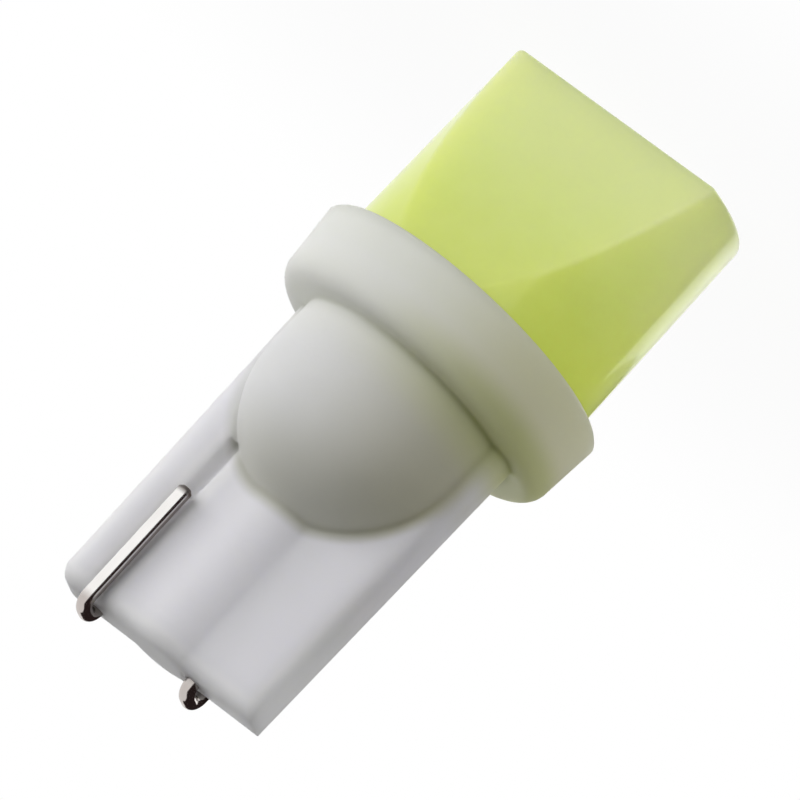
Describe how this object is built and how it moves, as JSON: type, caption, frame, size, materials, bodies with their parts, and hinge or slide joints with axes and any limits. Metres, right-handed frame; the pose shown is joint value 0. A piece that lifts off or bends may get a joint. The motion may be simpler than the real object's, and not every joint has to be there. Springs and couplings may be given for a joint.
{
  "type": "wedge base led bulb",
  "caption": "Small LED bulb with a white moulded wedge base, a round collar, a domed neck, a flat ribbed blade with bent-over contact wires and a yellow-green phosphor head with slanting flats.",
  "frame": {"origin": "centre of the head's flat tip face, on which the bulb stands", "axes": "+Z along the bulb's axis from the head to the wedge, -Y out of the blade's front face, +X towards the front contact wire"},
  "size_m": [0.0134, 0.0134, 0.0272],
  "materials": {
    "base_plastic": "satin moulded, slightly translucent",
    "phosphor_resin": "smooth, cloudy translucent",
    "board_laminate": "white solder mask",
    "package_plastic": "moulded, with a phosphor window",
    "resistor_ceramic": "glazed, tinned ends",
    "tinned_wire": "bright tin plating",
    "solder": "bright tin solder"
  },
  "bodies": {
    "root": {"base_housing": "base_plastic", "phosphor_head": "phosphor_resin", "led_board": "board_laminate", "led_front_1": "package_plastic", "led_front_2": "package_plastic", "led_front_3": "package_plastic", "led_back_1": "package_plastic", "led_back_2": "package_plastic", "led_back_3": "package_plastic", "series_resistor_front": "resistor_ceramic", "series_resistor_back": "resistor_ceramic", "contact_wire_front": "tinned_wire", "contact_wire_back": "tinned_wire", "solder_joint_front": "solder", "solder_joint_back": "solder"}
  },
  "joints": []
}
